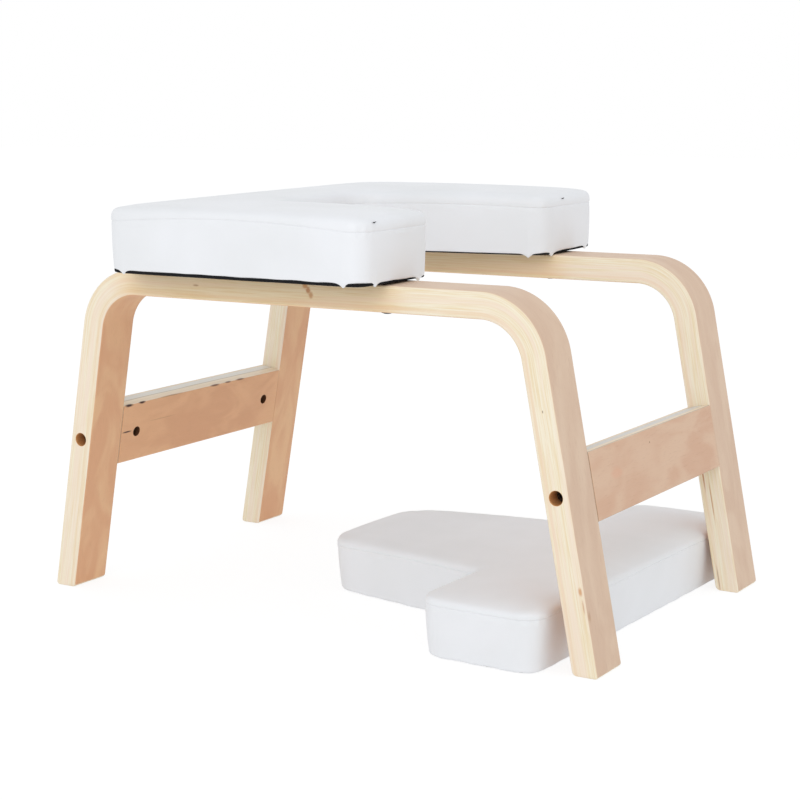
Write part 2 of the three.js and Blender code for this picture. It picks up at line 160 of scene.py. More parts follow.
def linear(hex_colour):
    """An sRGB hex colour as linear red, green, blue and 1."""
    parts = [int(hex_colour[i : i + 2], 16) / 255 for i in (1, 3, 5)]
    return (*[c / 12.92 if c <= 0.04045 else ((c + 0.055) / 1.055) ** 2.4 for c in parts], 1)


def set_inputs(tree, node, values):
    """Links or sets a node's inputs. A node as a value stands for its first output in use."""
    for place, value in values.items():
        if isinstance(value, bpy.types.Node):
            value = next(socket for socket in value.outputs if socket.enabled)
        if isinstance(value, bpy.types.NodeSocket):
            tree.links.new(value, node.inputs[place])
        else:
            node.inputs[place].default_value = value


def add_node(tree, kind, values=None, **settings):
    """Adds a shader node with its settings, and links or sets its inputs by name or number."""
    added = tree.nodes.new("ShaderNode" + kind)
    for setting, value in settings.items():
        setattr(added, setting, value)
    set_inputs(tree, added, values or {})
    return added


def new_finish(name):
    """A material with its node tree, the piece's own coordinates in metres and its shader."""
    material = bpy.data.materials.new(name)
    material.use_nodes = True
    tree = material.node_tree
    spot = add_node(tree, "TexCoord").outputs["Object"]
    return material, tree, spot, tree.nodes["Principled BSDF"]


def strip_place(x, y, z):
    """Where a point of a side frame lies: along its strip, above the inner face, and across."""
    out, up = abs(x) - bend_x, z - bend_z
    turn = min(max(math.atan2(out, up), 0), bend_turn)
    depth = out * math.sin(turn) + up * math.cos(turn) - inner_bend
    along = out * math.cos(turn) - up * math.sin(turn) + mid_bend * turn + bend_x
    return math.copysign(along, x), depth, y


def strip_coordinates(tree, place):
    """The same as sockets, so that grain and glue lines follow the strip round its bends."""
    axes = add_node(tree, "SeparateXYZ", {0: place})
    size = add_node(tree, "Math", {0: axes.outputs[0]}, operation="ABSOLUTE")
    way = add_node(tree, "Math", {0: axes.outputs[0]}, operation="SIGN")
    out = add_node(tree, "Math", {0: size, 1: bend_x}, operation="SUBTRACT")
    up = add_node(tree, "Math", {0: axes.outputs[2], 1: bend_z}, operation="SUBTRACT")
    angle = add_node(tree, "Math", {0: out, 1: up}, operation="ARCTAN2")
    turn = add_node(tree, "Clamp", {0: angle, 1: 0.0, 2: bend_turn})
    sine = add_node(tree, "Math", {0: turn}, operation="SINE")
    cosine = add_node(tree, "Math", {0: turn}, operation="COSINE")
    out_sine = add_node(tree, "Math", {0: out, 1: sine}, operation="MULTIPLY")
    radius = add_node(tree, "Math", {0: up, 1: cosine, 2: out_sine}, operation="MULTIPLY_ADD")
    depth = add_node(tree, "Math", {0: radius, 1: inner_bend}, operation="SUBTRACT")
    up_sine = add_node(tree, "Math", {0: up, 1: sine}, operation="MULTIPLY")
    level = add_node(tree, "Math", {0: out, 1: cosine, 2: bend_x}, operation="MULTIPLY_ADD")
    straight = add_node(tree, "Math", {0: level, 1: up_sine}, operation="SUBTRACT")
    half = add_node(tree, "Math", {0: turn, 1: mid_bend, 2: straight}, operation="MULTIPLY_ADD")
    along = add_node(tree, "Math", {0: half, 1: way}, operation="MULTIPLY")
    return along, depth, axes.outputs[1]


# Lacquered birch ply. Rotary-cut face veneers show a broad, cloudy pink-brown figure with short
# fine pores. The sanded edges show pale veneers with long streaks and hair-thin glue lines.
def birch_ply(name, coordinates, wood, marks, seed):
    """The ply of one piece. Coordinates give along, depth and across, all in millimetres."""
    ply, tree, spot, surface = new_finish(name)
    place = add_node(tree, "VectorMath", {0: spot, 3: 1000.0}, operation="SCALE")
    along, depth, across = coordinates(tree, place)
    grain = add_node(tree, "CombineXYZ", {0: along, 1: depth, 2: across})
    smooth = {"interpolation_type": "SMOOTHSTEP"}

    def figure(lengths, detail, roughness, distortion, shift):
        """Noise whose clumps have these lengths along, through and across the strip."""
        shares, offset = [1 / length for length in lengths], (shift + seed, shift, -shift)
        stretched = add_node(
            tree, "VectorMath", {0: grain, 1: shares, 2: offset}, operation="MULTIPLY_ADD"
        )
        values = {"Vector": stretched, "Scale": 1.0, "Detail": detail, "Roughness": roughness}
        return add_node(tree, "TexNoise", {**values, "Distortion": distortion})

    streaks = figure((46, 1.0, 3.0), 4, 0.62, 0.25, 3.1)
    clouds = figure((150, 6.0, 26), 2, 0.5, 0.4, 7.7)
    flames = figure((88, 30, 36), 2, 0.5, 1.1, 12.3)
    pores = figure((9.0, 2.0, 0.6), 2, 0.5, 0.0, 21.9)
    wander = figure((38, 60, 60), 1, 0.5, 0.0, 33.3)

    # The edge: streaks, warm clouds, one darker band 3 to 7 mm from the inner face, and glue
    # lines a veneer apart, which wander by up to 1.6 mm as the veneers do.
    streak = add_node(tree, "MapRange", {0: streaks, 1: 0.36, 2: 0.68}, **smooth)
    cloud = add_node(tree, "MapRange", {0: clouds, 1: 0.42, 2: 0.66, 3: 0.0, 4: 0.75})
    wandered = add_node(tree, "Math", {0: wander, 1: 1.6, 2: depth}, operation="MULTIPLY_ADD")
    band_from = add_node(tree, "MapRange", {0: wandered, 1: 3.2, 2: 4.4}, **smooth)
    band_to = add_node(tree, "MapRange", {0: wandered, 1: 6.6, 2: 7.4, 3: 1.0, 4: 0.0}, **smooth)
    band = add_node(tree, "Math", {0: band_from, 1: band_to}, operation="MULTIPLY")
    band = add_node(tree, "Math", {0: band, 1: wood["band_share"]}, operation="MULTIPLY")
    layer = add_node(tree, "Math", {0: wandered, 1: 1 / wood["veneer"]}, operation="MULTIPLY")
    in_layer = add_node(tree, "Math", {0: layer, 1: 1.0}, operation="PINGPONG")
    glue_line = {0: in_layer, 1: wood["glue_reach"], 2: 0.0, 3: 0.0, 4: wood["glue_share"]}
    glue = add_node(tree, "MapRange", glue_line, **smooth)
    layers = [(streak, wood["streak"]), (cloud, wood["warm"]), (band, wood["band"])]
    layers.append((glue, wood["glue"]))
    if "cross_layer" in wood:
        cross_from, cross_to, cross_colour = wood["cross_layer"]
        middle, half = (cross_from + cross_to) / 2, (cross_to - cross_from) / 2
        away = add_node(tree, "Math", {0: wandered, 1: middle}, operation="SUBTRACT")
        away = add_node(tree, "Math", {0: away}, operation="ABSOLUTE")
        cross = add_node(tree, "MapRange", {0: away, 1: half, 2: half - 0.6}, **smooth)
        layers.append((cross, cross_colour))
    edge = linear(wood["edge"])
    for share, tint in layers:
        edge = add_node(tree, "Mix", {0: share, 6: edge, 7: linear(tint)}, data_type="RGBA")
    if "rail" in wood:
        # Painted shade: the rails' sides are darkened and warmed where the pad overhangs
        # them, fading out towards the bends.
        centre, full_to, none_from, most, tint = wood["rail"]
        away = add_node(tree, "Math", {0: along, 1: -centre})
        away = add_node(tree, "Math", {0: away}, operation="ABSOLUTE")
        rail = add_node(
            tree, "MapRange", {0: away, 1: full_to, 2: none_from, 3: most, 4: 0.0}, **smooth
        )
        tinted = {0: rail, 6: edge, 7: linear(tint)}
        edge = add_node(tree, "Mix", tinted, data_type="RGBA", blend_type="MULTIPLY")

    # Face veneers half a millimetre thick, sanded through at the softened edges.
    flame = add_node(tree, "MapRange", {0: flames, 1: 0.36, 2: 0.64}, **smooth)
    faces = []
    for which in ("inner", "outer"):
        light, dark = linear(wood[which][0]), linear(wood[which][1])
        faces.append(add_node(tree, "Mix", {0: flame, 6: light, 7: dark}, data_type="RGBA"))
    half_depth = strip_thickness / 2
    outer_half = add_node(tree, "Math", {0: depth, 1: half_depth}, operation="GREATER_THAN")
    face = add_node(tree, "Mix", {0: outer_half, 6: faces[0], 7: faces[1]}, data_type="RGBA")
    pore = add_node(
        tree, "MapRange", {0: pores, 1: 0.56, 2: 0.76, 3: 0.0, 4: wood["pore_share"]}, **smooth
    )
    face = add_node(tree, "Mix", {0: pore, 6: face, 7: linear(wood["pore"])}, data_type="RGBA")
    ragged = add_node(tree, "Math", {0: streaks, 1: 0.5}, operation="MULTIPLY")
    near_inner = add_node(tree, "Math", {0: depth, 1: ragged}, operation="SUBTRACT")
    outwards = add_node(tree, "Math", {0: strip_thickness, 1: depth}, operation="SUBTRACT")
    near_outer = add_node(tree, "Math", {0: outwards, 1: ragged}, operation="SUBTRACT")
    nearest = add_node(tree, "Math", {0: near_inner, 1: near_outer}, operation="MINIMUM")
    veneer = add_node(tree, "MapRange", {0: nearest, 1: 0.1, 2: 0.45, 3: 1.0, 4: 0.0}, **smooth)
    colour = add_node(tree, "Mix", {0: veneer, 6: edge, 7: face}, data_type="RGBA")

    # Knots, pin knots and bruises, each a small clouded spot at its own place in the strip.
    for centre, radii, shade, most in marks:
        away = add_node(tree, "VectorMath", {0: grain, 1: centre}, operation="SUBTRACT")
        shares = [1 / radius for radius in radii]
        scaled = add_node(tree, "VectorMath", {0: away, 1: shares}, operation="MULTIPLY")
        distance = add_node(tree, "VectorMath", {0: scaled}, operation="LENGTH")
        frayed = {0: streaks, 1: 0.9, 2: distance}
        frayed = add_node(tree, "Math", frayed, operation="MULTIPLY_ADD")
        mark = add_node(tree, "MapRange", {0: frayed, 1: 0.75, 2: 1.45, 3: most, 4: 0.0}, **smooth)
        colour = add_node(tree, "Mix", {0: mark, 6: colour, 7: linear(shade)}, data_type="RGBA")

    pore_bump = {"Height": pores, "Strength": 0.12, "Distance": 0.0002}
    pore_bump = add_node(tree, "Bump", pore_bump, invert=True)
    grain_bump = {"Height": streaks, "Strength": 0.10, "Distance": 0.0003, "Normal": pore_bump}
    grain_bump = add_node(tree, "Bump", grain_bump)
    gloss = add_node(tree, "MapRange", {0: streaks, 1: 0.3, 2: 0.7, 3: 0.46, 4: 0.58})
    lacquer = {"IOR": 1.5, "Coat Weight": 0.1, "Coat Roughness": 0.35}
    lacquer.update({"Base Color": colour, "Roughness": gloss, "Normal": grain_bump})
    set_inputs(tree, surface, lacquer)
    return ply


# Veneers of the bent strip are 1.5 mm thick. The rail's painted shade, a warm tint for the pad's
# shade, is around 50 mm to the closed end of its middle: full for 140 mm either way, and gone
# at 182 mm.
bent_ply = {
    "veneer": 1.5,
    "edge": "#F3E9D3",
    "streak": "#E9D5AE",
    "warm": "#F1DECB",
    "band": "#E8C4A0",
    "band_share": 0.28,
    "glue": "#CFA97E",
    "glue_reach": 0.1,
    "glue_share": 0.13,
    # Painted shade of the pad on the rails' sides, multiplied into their colour.
    "rail": (-50.0, 140, 182, 0.62, "#FFE9C6"),
    "inner": ("#DFAA81", "#E8BB8F"),
    "outer": ("#DDC1A7", "#D6B79D"),
    "pore": "#A87B5C",
    "pore_share": 0.22,
}
frame_marks = {
    "right": [
        (strip_place(10.5, -184, 328.3), (4.2, 4.0, 5), "#CB8A4C", 0.85),
        (strip_place(13.8, -184, 324.2), (3.2, 4.4, 5), "#BC7840", 0.85),
        (strip_place(16.8, -184, 319.6), (3.4, 4.4, 5), "#C58A55", 0.8),
        (strip_place(5, -184, 331), (9, 1.6, 4), "#D79C66", 0.6),
        (strip_place(-117, -184, 322), (5, 1.3, 2), "#A67544", 0.65),
        (strip_place(294.6, -184, 76.8), (5.5, 2.4, 3), "#CF9663", 0.8),
        (strip_place(297.9, -184, 63.4), (9, 1.0, 2), "#BE7C4E", 0.6),
        (strip_place(257.4, -184, 231.7), (1.6, 0.7, 1.5), "#6E5230", 0.8),
        (strip_place(302, -181, 55), (7, 1.2, 3), "#B9906A", 0.6),
    ],
    "left": [
        (strip_place(271, 136, 118), (24, 1.1, 2), "#B26A30", 0.8),
        (strip_place(281, 136, 93), (30, 1.0, 2), "#BE7A40", 0.7),
        (strip_place(290, 136, 12), (18, 0.9, 2), "#9C7348", 0.6),
    ],
}

# Drilled wood shows its end grain, in clumps of about 1 mm, and no lacquer reaches it. The wide
# counterbores are clean and honey coloured, and the narrow holes are dark brown: painted shade.
bored_ply = []
for name, light, dark in (
    ("drilled birch ply", "#DCA66C", "#B97C45"), ("birch ply browned by the bit", "#6E4526", "#4C2D17")
):
    bored, tree, spot, surface = new_finish(name)
    clumps = add_node(tree, "TexNoise", {"Vector": spot, "Scale": 900.0, "Detail": 3.0})
    tones = {0: clumps, 6: linear(light), 7: linear(dark)}
    colour = add_node(tree, "Mix", tones, data_type="RGBA")
    set_inputs(tree, surface, {"Base Color": colour, "Roughness": 0.85})
    bored_ply.append(bored)
clean_bore, shaded_bore = bored_ply


def round_cutter(profile, place, axis, sides=40, lining=clean_bore):
    """A turned cutter of (radius, distance) steps along an axis from a place, in millimetres.

    What it cuts is lined with drilled wood.
    """
    turn = Vector(axis).normalized().to_track_quat("Z", "Y").to_matrix()
    rings = []
    for radius, distance in profile:
        ring = []
        for side in range(sides):
            angle = 2 * math.pi * side / sides
            local = Vector((radius * math.cos(angle), radius * math.sin(angle), distance))
            ring.append(Vector(place) + turn @ local)
        rings.append(np.array(ring))
    cutter = make_piece("cutter", *skin_of_rings(rings))
    cutter.data.materials.append(lining)
    return cutter


def bore(piece, cutters):
    """Takes the cutters out of a piece and removes them."""
    for cutter in cutters:
        hole = piece.modifiers.new("hole", "BOOLEAN")
        hole.operation = "DIFFERENCE"
        hole.solver = "EXACT"
        hole.material_mode = "TRANSFER"
        hole.object = cutter
    bpy.context.view_layer.update()
    cut = bpy.data.meshes.new_from_object(piece.evaluated_get(bpy.context.evaluated_depsgraph_get()))
    piece.modifiers.clear()
    cut.name = piece.name
    piece.data = cut
    for cutter in cutters:
        bpy.data.objects.remove(cutter)


def soften(piece, sharp_above=33):
    """Smooth shading that leaves flat faces flat and keeps the edges of holes crisp."""
    piece.data.shade_smooth()
    piece.data.set_sharp_from_angle(angle=math.radians(sharp_above))
    even = piece.modifiers.new("flat faces stay flat", "WEIGHTED_NORMAL")
    even.keep_sharp = True
    even.weight = 100


bolt_hole_radius = 3.3
board_bolt_depth = 42
counterbore_radius = 6.5
counterbore_depth = 20
hole_edge = 0.45
joint_z = 157
joint_x = frame_length / 2 - run_at_floor / 2 - joint_z * lean_slope
dowel_spacing = 40
dowel_hole_radius = 4.3
dowel_in_leg = 13
dowel_in_board = 19
screw_hole_radius = 3.3
pad_screw_x = (84.9, -155.1)
small_hole_sides = 24


def leg_place(end, distance):
    """A place in X and Z on a leg's centre line, at a distance up it from the joint."""
    x = end * (joint_x - distance * math.sin(leg_lean))
    return x, joint_z + distance * math.cos(leg_lean)


for side, key, seed in ((-1, "right", 1.7), (1, "left", 5.3)):
    strip = bent_strip(f"{key}_bent_frame", side * frame_across)
    ply_name = f"lacquered bent birch ply {key}"
    ply = birch_ply(ply_name, strip_coordinates, bent_ply, frame_marks[key], seed)
    strip.data.materials.append(ply)
    outer_face = side * (frame_across + strip_width / 2)
    inner_face = outer_face - side * strip_width
    counterbore = [
        (counterbore_radius + hole_edge + 1, -1),
        (counterbore_radius, hole_edge),
        (counterbore_radius, counterbore_depth),
        (bolt_hole_radius, counterbore_depth),
        (bolt_hole_radius, strip_width + 1),
    ]
    dowel_hole = [(dowel_hole_radius, -1), (dowel_hole_radius, dowel_in_leg)]
    screw_hole = [
        (screw_hole_radius + hole_edge + 1, -1),
        (screw_hole_radius, hole_edge),
        (screw_hole_radius, strip_thickness + 1),
    ]
    cutters = []
    for end in (-1, 1):
        x, z = leg_place(end, 0)
        cutters.append(round_cutter(counterbore, (x, outer_face, z), (0, -side, 0)))
        for way in (-1, 1):
            x, z = leg_place(end, way * dowel_spacing / 2)
            place = (x, inner_face, z)
            cutters.append(round_cutter(dowel_hole, place, (0, side, 0), small_hole_sides))
    for x in pad_screw_x:
        foot = (x, side * frame_across, frame_height - strip_thickness)
        cutters.append(round_cutter(screw_hole, foot, (0, 0, 1), small_hole_sides))
    bore(strip, cutters)
    soften(strip)
    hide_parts(f"{key}_side_frame")
    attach(strip, "stool")


# Stretchers
# Two flat birch ply boards, 63 by 25 mm, tie the side frames. Each is butted to the legs' inner
# faces, dowelled and bolted, and a barrel nut for each bolt goes in from the middle of the stool.
stretcher_height = 63
stretcher_arris = 1.5
stretcher_half = 135.7
barrel_nut_radius = 5
barrel_nut_depth = 20
barrel_nut_edge = 0.35
barrel_nut_y = stretcher_half - 24


def stretcher_axes(end):
    """A stretcher's own directions: out from the middle of the stool, and up along the legs."""
    out = Vector((end * math.cos(leg_lean), 0, math.sin(leg_lean)))
    up = Vector((-end * math.sin(leg_lean), 0, math.cos(leg_lean)))
    return out, up


# Four thick veneers, of which one runs across and shows its grey end grain at the top edge.
flat_ply = {
    "veneer": 6.2,
    "edge": "#F1E1CB",
    "streak": "#E6D2B2",
    "warm": "#EEDCC4",
    "band": "#E4CCAC",
    "band_share": 0.3,
    "glue": "#8F8479",
    "glue_reach": 0.2,
    "glue_share": 0.55,
    "inner": ("#DBA57C", "#E5B286"),
    "outer": ("#D4AA8C", "#DBB89B"),
    "pore": "#A6745A",
    "pore_share": 0.18,
}
closed_end_marks = [
    ((-128, 0.4, 30.6), (8.5, 2.6, 2.2), "#3A1606", 1.0),
    ((-107, 0.4, 30.8), (7.0, 2.6, 1.8), "#3A1606", 1.0),
    ((16, 0.6, 31.0), (10, 2.0, 1.4), "#5A2F14", 0.85),
    ((40, 0.6, 31.0), (7, 2.0, 1.2), "#5A2F14", 0.8),
    ((62, 0.6, 31.0), (10, 2.0, 1.3), "#5A2F14", 0.8),
    ((-60, 0.6, 31.2), (26, 1.6, 1.0), "#B08863", 0.7),
    ((-127, 0, 1.9), (9.5, 2.2, 1.1), "#3A1606", 1.0),
    ((-70, 0, 8), (30, 2.0, 0.7), "#B98762", 0.5),
]
open_end_marks = [
    ((-12, 25, 19), (1.4, 2, 1.2), "#8C5F40", 0.8), ((-88, 25, 4), (15, 4, 7), "#DDA98A", 0.6)
]
stretcher_section = np.array(rounded_section(strip_thickness, stretcher_height, stretcher_arris))
for end, key, marks, cross_layer, seed in (
    (1, "open_end", open_end_marks, (6.5, 18.5, "#D9D5CE"), 11.1),
    (-1, "closed_end", closed_end_marks, (13, 22, "#E4DFD6"), 15.9),
):
    out, up = stretcher_axes(end)
    centre = np.array([end * joint_x, 0, joint_z])

    def board_coordinates(tree, place, centre=centre, out=out, up=up):
        away = add_node(tree, "VectorMath", {0: place, 1: centre}, operation="SUBTRACT")
        outward = add_node(tree, "VectorMath", {0: away, 1: out}, operation="DOT_PRODUCT")
        depth = add_node(tree, "Math", {0: outward, 1: strip_thickness / 2}, operation="ADD")
        upward = add_node(tree, "VectorMath", {0: away, 1: up}, operation="DOT_PRODUCT")
        return add_node(tree, "SeparateXYZ", {0: away}).outputs[1], depth, upward

    section = stretcher_section[:: -end]
    rings = []
    for y in np.linspace(-stretcher_half, stretcher_half, 25):
        offsets = np.outer(section[:, 0] - strip_thickness / 2, out)
        offsets += np.outer(section[:, 1], up)
        rings.append(centre + offsets + (0, y, 0))
    board = make_piece(f"{key}_stretcher_board", *skin_of_rings(rings))
    wood = {**flat_ply, "cross_layer": cross_layer}
    ply = birch_ply(f"lacquered flat birch ply {key}", board_coordinates, wood, marks, seed)
    board.data.materials.append(ply)
    nut_hole = [
        (barrel_nut_radius + barrel_nut_edge + 1, -1),
        (barrel_nut_radius, barrel_nut_edge),
        (barrel_nut_radius, barrel_nut_depth),
    ]
    bolt_hole = [(bolt_hole_radius, -1), (bolt_hole_radius, board_bolt_depth)]
    dowel_hole = [(dowel_hole_radius, -1), (dowel_hole_radius, dowel_in_board)]
    cutters = []
    for side in (-1, 1):
        mouth = Vector(centre) - out * (strip_thickness / 2) + Vector((0, side * barrel_nut_y, 0))
        # The barrel nut holes get the dark finish: painted shade for a deep, narrow hole.
        cutters.append(round_cutter(nut_hole, mouth, out, lining=shaded_bore))
        face = Vector(centre) + Vector((0, side * stretcher_half, 0))
        cutters.append(round_cutter(bolt_hole, face, (0, -side, 0), small_hole_sides))
        for way in (-1, 1):
            spot = face + up * (way * dowel_spacing / 2)
            cutters.append(round_cutter(dowel_hole, spot, (0, -side, 0), small_hole_sides))
    bore(board, cutters)
    soften(board)
    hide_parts(f"{key}_stretcher")
    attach(board, "stool")

# Dowels
# Turned beech pegs, two beside each bolt, glued half into the leg and half into the stretcher.
# Beech is even and pinkish, with the fine dark flecks of its rays, about 1 mm by 8 along the grain.
dowel_beech, tree, spot, surface = new_finish("turned beech")
stretched = {0: spot, 1: (900, 120, 900)}
stretched = add_node(tree, "VectorMath", stretched, operation="MULTIPLY")
flecks = add_node(tree, "TexNoise", {"Vector": stretched, "Scale": 1.0, "Detail": 3.0})
tones = {0: flecks, 6: linear("#E3C6A0"), 7: linear("#C79B72")}
colour = add_node(tree, "Mix", tones, data_type="RGBA")
set_inputs(tree, surface, {"Base Color": colour, "Roughness": 0.7})

# T-nuts
# Steel, zinc plated and cleared: a bright bluish grey whose spangle breaks up its gloss. The
# spangle is about 1 mm across.
zinc_plate, tree, spot, surface = new_finish("zinc plated steel")
spangle = add_node(tree, "TexNoise", {"Vector": spot, "Scale": 900.0, "Detail": 4.0})
tones = {0: spangle, 6: linear("#C9CCCF"), 7: linear("#A9ADB3")}
colour = add_node(tree, "Mix", tones, data_type="RGBA")
gloss = add_node(tree, "MapRange", {0: spangle, 3: 0.26, 4: 0.46})
bump = add_node(tree, "Bump", {"Height": spangle, "Strength": 0.2, "Distance": 0.0001})
plating = {"Metallic": 1.0, "Base Color": colour, "Roughness": gloss, "Normal": bump}
set_inputs(tree, surface, plating)

# Connector bolts, washers, barrel nuts and pad screws
# Turned and cold-headed steel in black oxide: a thin, slightly oily skin, nearly black with
# brownish rubbed places 2 to 3 mm across. The pad screws go up through the rails into the T-nuts.
black_oxide, tree, spot, surface = new_finish("black oxide steel")
rubbing = add_node(tree, "TexNoise", {"Vector": spot, "Scale": 420.0, "Detail": 3.0})
rubbed = add_node(tree, "MapRange", {0: rubbing, 1: 0.45, 2: 0.8})
tones = {0: rubbed, 6: linear("#2C2622"), 7: linear("#5E4936")}
colour = add_node(tree, "Mix", tones, data_type="RGBA")
gloss = add_node(tree, "MapRange", {0: rubbing, 3: 0.34, 4: 0.52})
set_inputs(tree, surface, {"Metallic": 0.85, "Base Color": colour, "Roughness": gloss})

# Base boards
# Flat 12 mm birch ply under each pad's foam, rough sanded because the cover hides it. Its grain
# runs in streaks about 70 mm long and 6 mm wide.
board_ply, tree, spot, surface = new_finish("rough sanded birch ply")
stretched = {0: spot, 1: (14, 160, 600)}
stretched = add_node(tree, "VectorMath", stretched, operation="MULTIPLY")
streaks = {"Vector": stretched, "Scale": 1.0, "Detail": 4.0, "Distortion": 0.6}
streaks = add_node(tree, "TexNoise", streaks)
tones = {0: streaks, 6: linear("#EAD7B6"), 7: linear("#CFAE84")}
colour = add_node(tree, "Mix", tones, data_type="RGBA")
bump = add_node(tree, "Bump", {"Height": streaks, "Strength": 0.3, "Distance": 0.0004})
set_inputs(tree, surface, {"Base Color": colour, "Roughness": 0.75, "Normal": bump})

hardware = {
    "dowel": dowel_beech,
    "_bolt_": black_oxide,
    "washer": black_oxide,
    "barrel_nut": black_oxide,
    "tee_nut": zinc_plate,
    "pad_screw": black_oxide,
    "base_board": board_ply,
}
for name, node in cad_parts.items():
    for part, material in hardware.items():
        if part in name:
            node.data.materials.clear()
            node.data.materials.append(material)
            soften(node, 40)

# Pad covers
# White polyurethane-coated fabric over foam, cut as a top panel and a side band and sewn right
# round at the top edge. The band is pulled round the ply board and stapled under it. Sizes
# are in millimetres, but for stuffed_most.
seam_height = 50
crown_rise = 14.5
crown_reach = 51.7
foot_inset = 2.8
side_bow = 0.6
return_width = 11
pad_lift = 1.3
slot_half = 107
pad_half = 229
slot_from_x = -150
stuffed_most = 0.0012
stuffing_steps = 20
held_by_foam = 0.12
pucker_depth = 0.32
pucker_spacing = 11
pucker_reach = 9
allowance_depth = 0.45
allowance_spacing = 60
slack_spacing = 42
slack_depth = 0.3
tuft_height = 12
tuft_width = 3.4
crease_height = 30
crease_width = 2.6
crease_depth = 0.4
fold_flatness = 0.05
lean_height = 45
soft_edge_reach = 45


def edge_shares(length):
    """Places along an edge as shares of it, close together by its corners where the folds are."""
    near = [1.5, 3.1, 4.9, 7.0, 9.6, 12.9, 17.0]
    pieces = round((length - 2 * near[-1]) / 5)
    middle = np.linspace(near[-1], length - near[-1], pieces + 1)[1:-1]
    return [*(n / length for n in near), *middle / length, *(1 - n / length for n in near[::-1])]


def pad_ring(corners, inset):
    """Points round a pad's outline drawn in by inset, and how far the band bows up at each.

    Corners are x, y and radius. Every inset gives as many points, so that rings join up. The
    bow is 0 at the corners and on short edges, and 1 at the middle of a long one.
    """
    sharp = np.array([c[:2] for c in corners], float)
    ahead = np.roll(sharp, -1, axis=0) - sharp
    lengths = np.linalg.norm(ahead, axis=1)
    ahead /= lengths[:, None]
    inward = np.column_stack([-ahead[:, 1], ahead[:, 0]])
    behind = np.roll(inward, 1, axis=0)
    mitre = (inward + behind) / (1 + (inward * behind).sum(axis=1))[:, None]
    inner = sharp + inset * mitre
    arcs = []
    for i, (_, _, radius) in enumerate(corners):
        back = inner[i - 1] - inner[i]
        forward = inner[(i + 1) % len(corners)] - inner[i]
        back /= np.linalg.norm(back)
        forward /= np.linalg.norm(forward)
        convex = back[0] * forward[1] - back[1] * forward[0] < 0
        half = math.acos(float(back @ forward)) / 2
        steps = round(radius * (math.pi - 2 * half) / 2.6)
        here = max(radius - inset, 1) if convex else radius + inset
        bisector = (back + forward) / np.linalg.norm(back + forward)
        centre = inner[i] + bisector * here / math.sin(half)
        start = inner[i] + back * here / math.tan(half) - centre
        sweep = (1 if convex else -1) * (math.pi - 2 * half)
        arc = []
        for step in range(steps + 1):
            angle = sweep * step / steps
            turn = np.array([[math.cos(angle), -math.sin(angle)], [math.sin(angle), math.cos(angle)]])
            arc.append(centre + turn @ start)
        arcs.append(np.array(arc))
    points, bows, at_corner = [], [], []
    for i, arc in enumerate(arcs):
        points += list(arc)
        bows += [0.0] * len(arc)
        at_corner += [(i, step / (len(arc) - 1)) for step in range(len(arc))]
        to = arcs[(i + 1) % len(arcs)][0]
        long_edge = min(max((lengths[i] - 125) / 60, 0), 1)
        for share in edge_shares(lengths[i]):
            bow = 4 * share * (1 - share)
            outward = -inward[i]
            points.append(arc[-1] + (to - arc[-1]) * share + outward * side_bow * bow)
            bows.append(bow * long_edge)
            at_corner.append((-1, 0.0))
    return np.array(points), np.array(bows), at_corner


def filled(boundary, step, edge_step):
    """Triangles that fill a closed outline, with an even lattice of points inside it."""
    low, high = boundary.min(axis=0), boundary.max(axis=0)
    xs = np.arange(low[0] + step / 2, high[0], step)
    ys = np.arange(low[1] + step / 2, high[1], step * 0.87)
    lattice = np.array([(x + step / 2 * (j % 2), y) for j, y in enumerate(ys) for x in xs])
    a, b = boundary, np.roll(boundary, -1, axis=0)
    inside = np.zeros(len(lattice), bool)
    for (ax, ay), (bx, by) in zip(a, b):
        if ay != by:
            crosses = (ay > lattice[:, 1]) != (by > lattice[:, 1])
            inside ^= crosses & (lattice[:, 0] < (bx - ax) * (lattice[:, 1] - ay) / (by - ay) + ax)
    lattice = lattice[inside]
    lattice = lattice[distance_to(lattice, boundary) > edge_step]
    count = len(boundary)
    points = np.concatenate([boundary, lattice])
    edges = [(i, (i + 1) % count) for i in range(count)]
    _, _, faces, origins, _, _ = delaunay_2d_cdt([Vector(p) for p in points], edges, [], 1, 1e-6)
    return lattice, [tuple(origins[i][0] for i in face) for face in faces]


def distance_to(points, outline):
    """The distance of each point to a closed outline."""
    a, b = outline, np.roll(outline, -1, axis=0)
    along = b - a
    length = (along**2).sum(axis=1)
    nearest = np.full(len(points), 1e9)
    for start, way, size in zip(a, along, length):
        share = np.clip(((points - start) @ way) / max(size, 1e-12), 0, 1)
        gap = points - start - share[:, None] * way
        nearest = np.minimum(nearest, np.hypot(gap[:, 0], gap[:, 1]))
    return nearest


def outer_share(points):
    """0 at the slot's edges of a pad and 1 at its outer ones."""
    return np.clip((np.abs(points[:, 1]) - slot_half) / (pad_half - slot_half), 0, 1)


def way_round(outline):
    """How far along a closed outline each of its points lies, and the whole length."""
    steps = np.linalg.norm(np.roll(outline, -1, axis=0) - outline, axis=1)
    return np.concatenate([[0], np.cumsum(steps)[:-1]]), steps.sum()


def add_middle(vertices, faces, rim_from, count, lattice, heights, middle_faces):
    """Joins a filled middle to the ring of points that starts at rim_from."""
    start = len(vertices)
    for face in middle_faces:
        faces.append(tuple(i + rim_from if i < count else i - count + start for i in face))
    return np.concatenate([vertices, np.column_stack([lattice, heights])])


